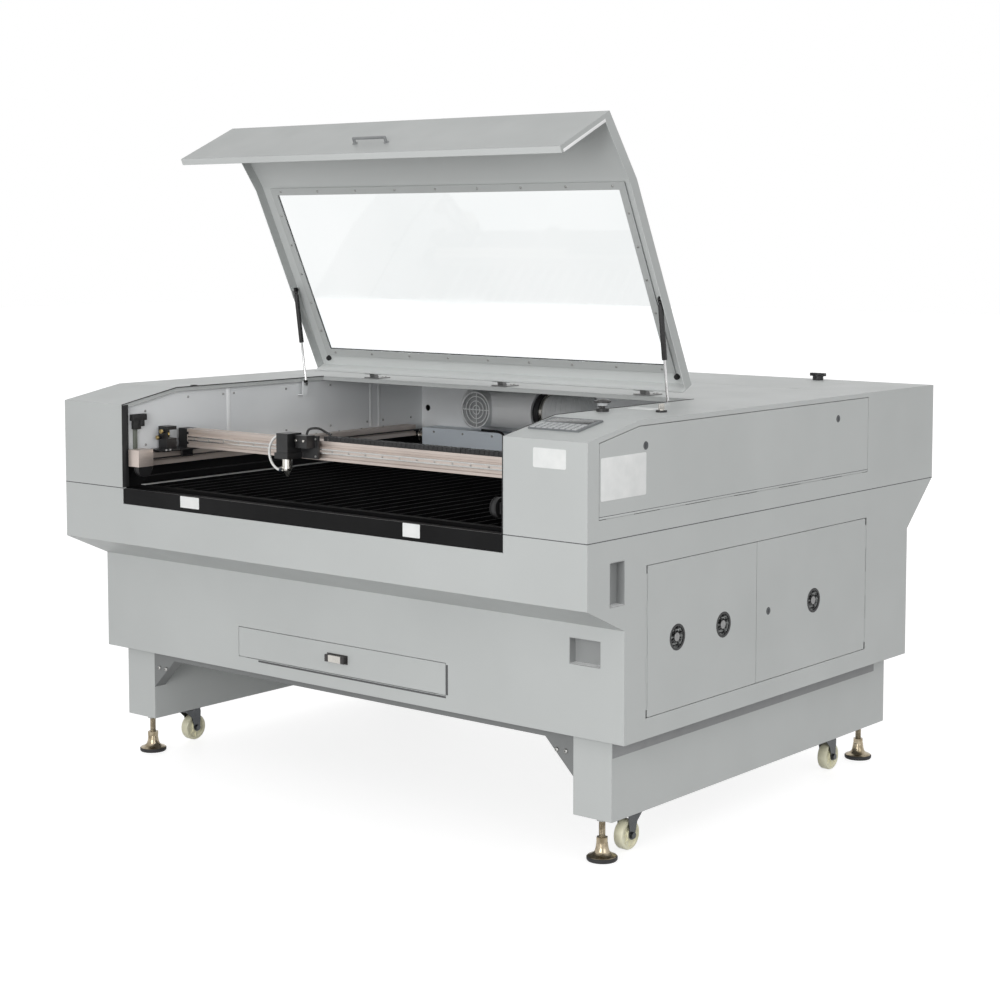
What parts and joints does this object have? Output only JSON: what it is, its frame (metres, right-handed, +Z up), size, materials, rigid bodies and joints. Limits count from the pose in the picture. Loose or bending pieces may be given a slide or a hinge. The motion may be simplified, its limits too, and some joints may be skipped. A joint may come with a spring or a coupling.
{
  "type": "laser engraving machine",
  "caption": "Flat-bed laser engraving machine on feet and casters, with its hinged window lid open on gas struts.",
  "frame": {"origin": "middle of the machine's plan at floor level, with the lid open", "axes": "+X across the machine to the operator's right, -Y towards the operator at the front, +Z up"},
  "size_m": [1.86, 1.655, 1.8095],
  "materials": {
    "painted": "satin",
    "liner": "satin",
    "black": "satin",
    "extrusion": "satin",
    "cover": "satin",
    "nickel": "brushed",
    "chrome": "polished",
    "duct": "matte",
    "tube_glass": "clear",
    "window": "clear",
    "keys": "matte",
    "black_plastic": "matte",
    "nylon": "satin",
    "hose": "satin",
    "pad": "matte"
  },
  "bodies": {
    "housing": {"plinth_left": "painted", "plinth_right": "painted", "base_deck": "painted", "lower_cabinet": "painted", "hood_shell": "painted", "chamber_liner": "liner", "y_rails": "extrusion", "work_table": "black", "front_bar": "black", "shaft_cover": "cover", "fan_housing": "chrome", "exhaust_duct": "duct", "laser_tube": "tube_glass", "tube_cradles": "black", "keypad": "keys", "control_collars": "black_plastic", "cup_pulls": "nickel", "rear_fittings": "black_plastic", "lid_hinges": "nickel", "caster_plates": "nickel"},
    "lid": {"lid_shell": "painted", "lid_glass": "window", "glass_frame": "painted", "lid_handle": "nickel"},
    "strut_tube_left": {"strut_tube_left": "black"},
    "strut_rod_left": {"strut_rod_left": "chrome"},
    "strut_tube_right": {"strut_tube_right": "black"},
    "strut_rod_right": {"strut_rod_right": "chrome"},
    "bay_lid": {"bay_lid": "painted"},
    "bay_catch": {"bay_catch": "black_plastic"},
    "side_panel": {"side_panel": "painted"},
    "panel_lock_front": {"panel_lock_front": "chrome"},
    "panel_lock_rear": {"panel_lock_rear": "chrome"},
    "door_front": {"door_front": "painted"},
    "door_rear": {"door_rear": "painted"},
    "door_lock": {"door_lock": "chrome"},
    "drawer": {"waste_drawer": "painted"},
    "drawer_latch": {"drawer_latch": "nickel"},
    "gantry": {"gantry_beam": "extrusion", "gantry_carriage_left": "black", "gantry_carriage_right": "black"},
    "head": {"head_carriage": "black", "lens_tube": "nickel", "air_hose": "hose"},
    "drive_shaft": {"drive_shaft": "nickel"},
    "fan_rotor": {"fan_rotor": "black_plastic"},
    "stop_button": {"stop_button": "black_plastic"},
    "key_barrel": {"key_barrel": "chrome"},
    "caster_front_left": {"caster_fork_front_left": "nickel"},
    "wheel_front_left": {"caster_wheel_front_left": "nylon"},
    "foot_front_left": {"foot_front_left": "pad"},
    "caster_front_right": {"caster_fork_front_right": "nickel"},
    "wheel_front_right": {"caster_wheel_front_right": "nylon"},
    "foot_front_right": {"foot_front_right": "pad"},
    "caster_rear_left": {"caster_fork_rear_left": "nickel"},
    "wheel_rear_left": {"caster_wheel_rear_left": "nylon"},
    "foot_rear_left": {"foot_rear_left": "pad"},
    "caster_rear_right": {"caster_fork_rear_right": "nickel"},
    "wheel_rear_right": {"caster_wheel_rear_right": "nylon"},
    "foot_rear_right": {"foot_rear_right": "pad"}
  },
  "joints": [
    {"name": "lid_hinge", "type": "hinge", "parent": "housing", "child": "lid", "pos_m": [0, -0.0075, 1.091], "axis": [1, 0, 0], "range_deg": [0, 64.8]},
    {"name": "strut_left_pivot", "type": "hinge", "parent": "lid", "child": "strut_tube_left", "pos_m": [-0.664, -0.16733, 1.33906], "axis": [1, 0, 0], "range_deg": [0, 18.27]},
    {"name": "strut_left_stroke", "type": "slide", "parent": "strut_tube_left", "child": "strut_rod_left", "axis": [0, -0.1389, 0.9903], "range_m": [0, 0.11451]},
    {"name": "strut_right_pivot", "type": "hinge", "parent": "lid", "child": "strut_tube_right", "pos_m": [0.664, -0.16733, 1.33906], "axis": [1, 0, 0], "range_deg": [0, 18.27]},
    {"name": "strut_right_stroke", "type": "slide", "parent": "strut_tube_right", "child": "strut_rod_right", "axis": [0, -0.1389, 0.9903], "range_m": [0, 0.11451]},
    {"name": "bay_lid_hinge", "type": "hinge", "parent": "housing", "child": "bay_lid", "pos_m": [0, 0.4595, 1.0695], "axis": [1, 0, 0], "range_deg": [0, 75]},
    {"name": "bay_catch_turn", "type": "hinge", "parent": "bay_lid", "child": "bay_catch", "pos_m": [0.574, 0.7825, 1.072], "axis": [0, 0, -1], "range_deg": [0, 90]},
    {"name": "side_panel_hinge", "type": "hinge", "parent": "housing", "child": "side_panel", "pos_m": [0.9275, 0, 0.858], "axis": [0, 1, 0], "range_deg": [0, 110]},
    {"name": "panel_lock_front_turn", "type": "hinge", "parent": "side_panel", "child": "panel_lock_front", "pos_m": [0.93, -0.6015, 1.012], "axis": [-1, 0, 0], "range_deg": [0, 90]},
    {"name": "panel_lock_rear_turn", "type": "hinge", "parent": "side_panel", "child": "panel_lock_rear", "pos_m": [0.93, 0.2875, 1.012], "axis": [-1, 0, 0], "range_deg": [0, 90]},
    {"name": "door_front_hinge", "type": "hinge", "parent": "housing", "child": "door_front", "pos_m": [0.9275, -0.5925, 0.5435], "axis": [0, 0, -1], "range_deg": [0, 110]},
    {"name": "door_rear_hinge", "type": "hinge", "parent": "housing", "child": "door_rear", "pos_m": [0.9275, 0.4455, 0.5435], "axis": [0, 0, 1], "range_deg": [0, 110]},
    {"name": "door_lock_turn", "type": "hinge", "parent": "door_rear", "child": "door_lock", "pos_m": [0.93, -0.0545, 0.54], "axis": [-1, 0, 0], "range_deg": [0, 90]},
    {"name": "drawer_slide", "type": "slide", "parent": "housing", "child": "drawer", "axis": [0, -1, 0], "range_m": [0, 0.45]},
    {"name": "drawer_latch_turn", "type": "hinge", "parent": "drawer", "child": "drawer_latch", "pos_m": [0, -0.6825, 0.393], "axis": [0, -1, 0], "range_deg": [0, 90]},
    {"name": "gantry_slide", "type": "slide", "parent": "housing", "child": "gantry", "axis": [0, 1, 0], "range_m": [0, 0.87]},
    {"name": "head_slide", "type": "slide", "parent": "gantry", "child": "head", "axis": [1, 0, 0], "range_m": [-0.345, 0.77]},
    {"name": "drive_shaft_spin", "type": "hinge", "parent": "housing", "child": "drive_shaft", "pos_m": [0, 0.3845, 0.86], "axis": [-1, 0, 0], "continuous": true},
    {"name": "fan_spin", "type": "hinge", "parent": "housing", "child": "fan_rotor", "pos_m": [-0.357, 0.3625, 0.965], "axis": [1, 0, 0], "continuous": true},
    {"name": "stop_press", "type": "slide", "parent": "housing", "child": "stop_button", "axis": [0, 0, -1], "range_m": [0, 0.005], "stiffness_N_per_m": 1500},
    {"name": "key_turn", "type": "hinge", "parent": "housing", "child": "key_barrel", "pos_m": [0.838, -0.4075, 1.072], "axis": [0, 0, 1], "range_deg": [0, 90]},
    {"name": "caster_front_left_swivel", "type": "hinge", "parent": "housing", "child": "caster_front_left", "pos_m": [-0.8175, -0.4875, 0.0977], "axis": [0, 0, 1], "continuous": true},
    {"name": "caster_front_left_roll", "type": "hinge", "parent": "caster_front_left", "child": "wheel_front_left", "pos_m": [-0.8175, -0.4595, 0.0405], "axis": [1, 0, 0], "continuous": true},
    {"name": "foot_front_left_screw", "type": "slide", "parent": "housing", "child": "foot_front_left", "axis": [0, 0, 1], "range_m": [-0.03, 0.03]},
    {"name": "caster_front_right_swivel", "type": "hinge", "parent": "housing", "child": "caster_front_right", "pos_m": [0.8175, -0.4875, 0.0977], "axis": [0, 0, 1], "continuous": true},
    {"name": "caster_front_right_roll", "type": "hinge", "parent": "caster_front_right", "child": "wheel_front_right", "pos_m": [0.8175, -0.5155, 0.0405], "axis": [1, 0, 0], "continuous": true},
    {"name": "foot_front_right_screw", "type": "slide", "parent": "housing", "child": "foot_front_right", "axis": [0, 0, 1], "range_m": [-0.03, 0.03]},
    {"name": "caster_rear_left_swivel", "type": "hinge", "parent": "housing", "child": "caster_rear_left", "pos_m": [-0.8175, 0.4225, 0.0977], "axis": [0, 0, 1], "continuous": true},
    {"name": "caster_rear_left_roll", "type": "hinge", "parent": "caster_rear_left", "child": "wheel_rear_left", "pos_m": [-0.8175, 0.4505, 0.0405], "axis": [1, 0, 0], "continuous": true},
    {"name": "foot_rear_left_screw", "type": "slide", "parent": "housing", "child": "foot_rear_left", "axis": [0, 0, 1], "range_m": [-0.03, 0.03]},
    {"name": "caster_rear_right_swivel", "type": "hinge", "parent": "housing", "child": "caster_rear_right", "pos_m": [0.8175, 0.4225, 0.0977], "axis": [0, 0, 1], "continuous": true},
    {"name": "caster_rear_right_roll", "type": "hinge", "parent": "caster_rear_right", "child": "wheel_rear_right", "pos_m": [0.8175, 0.4505, 0.0405], "axis": [1, 0, 0], "continuous": true},
    {"name": "foot_rear_right_screw", "type": "slide", "parent": "housing", "child": "foot_rear_right", "axis": [0, 0, 1], "range_m": [-0.03, 0.03]}
  ],
  "couplings": [
    {"joint": "strut_left_pivot", "follows": "lid_hinge", "ratio": 0.28109},
    {"joint": "strut_left_stroke", "follows": "lid_hinge", "m_per_rad": 0.10107},
    {"joint": "strut_right_pivot", "follows": "lid_hinge", "ratio": 0.28109},
    {"joint": "strut_right_stroke", "follows": "lid_hinge", "m_per_rad": 0.10107},
    {"joint": "drive_shaft_spin", "follows": "gantry_slide", "rad_per_m": 45.455}
  ]
}
